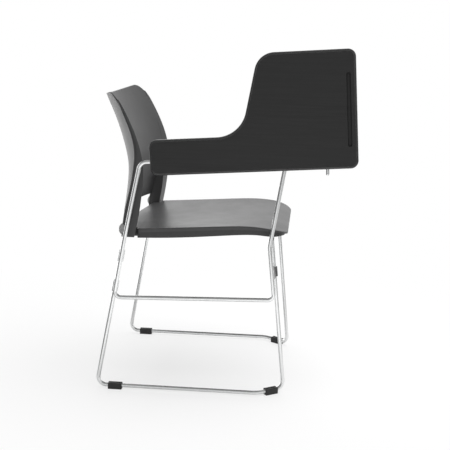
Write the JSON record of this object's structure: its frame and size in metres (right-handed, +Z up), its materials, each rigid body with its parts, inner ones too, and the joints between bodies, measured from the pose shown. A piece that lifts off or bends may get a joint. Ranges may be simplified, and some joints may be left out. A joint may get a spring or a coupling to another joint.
{
  "type": "student desk chair",
  "caption": "Stackable wire sled-frame chair with a moulded seat and bowed back, and a writing tablet that flips up beside the sitter on a bent-rod arm loop.",
  "frame": {"origin": "on the floor, midway between the two side frames and midway along their floor runners", "axes": "X runs across the chair with the tablet on the -X side (the right hand of a sitter), +Y points to the back, +Z is up"},
  "size_m": [0.5415, 0.6987, 0.9369],
  "materials": {
    "chrome_rod": "bright chrome-plated steel rod",
    "chrome_clip": "bright chrome-plated pressed steel",
    "glide_plastic": "matt black nylon",
    "rail_steel": "black powder coat",
    "seat_plastic": "fine-grained anthracite polypropylene",
    "seat_base_plastic": "fine-grained anthracite polypropylene",
    "back_plastic": "fine-grained anthracite polypropylene",
    "tablet_laminate": "matt dark grey laminate on a wood-based core",
    "edge_plastic": "satin black moulded edge",
    "hinge_plastic": "matt black glass-filled nylon",
    "cap_plastic": "satin light grey nylon",
    "bush_plastic": "natural acetal",
    "screw_steel": "zinc-plated steel"
  },
  "bodies": {
    "root": {"arm_loop": "chrome_rod", "backrest": "back_plastic", "backrest_screws": "screw_steel", "clamp_screws": "screw_steel", "fixing_cap_left": "cap_plastic", "fixing_cap_right": "cap_plastic", "front_clamp_front_half": "rail_steel", "front_clamp_rear_half": "rail_steel", "front_cross_rod": "chrome_rod", "glide_front_left": "glide_plastic", "glide_front_right": "glide_plastic", "glide_rear_left": "glide_plastic", "glide_rear_right": "glide_plastic", "lower_clip_front_half": "chrome_clip", "lower_clip_rear_half": "chrome_clip", "rear_cross_rod": "chrome_rod", "seat_base": "seat_base_plastic", "seat_rail_left": "rail_steel", "seat_rail_right": "rail_steel", "seat_screws": "screw_steel", "seat_shell": "seat_plastic", "side_frame_left": "chrome_rod", "side_frame_right": "chrome_rod", "stop_pin": "screw_steel", "upper_clip_front_half": "chrome_clip", "upper_clip_rear_half": "chrome_clip"},
    "tablet": {"bag_peg": "chrome_rod", "hinge_base_front": "hinge_plastic", "hinge_base_rear": "hinge_plastic", "hinge_bush_front": "bush_plastic", "hinge_bush_rear": "bush_plastic", "hinge_cap_front": "hinge_plastic", "hinge_cap_rear": "hinge_plastic", "hinge_screws": "screw_steel", "peg_screws": "screw_steel", "tablet_board": "tablet_laminate", "tablet_edge_band": "edge_plastic"}
  },
  "joints": [
    {"name": "tablet_flip", "type": "hinge", "parent": "root", "child": "tablet", "pos_m": [-0.253, 0.139, 0.6287], "axis": [0, 0.9972, -0.075], "range_deg": [0, 90]}
  ]
}
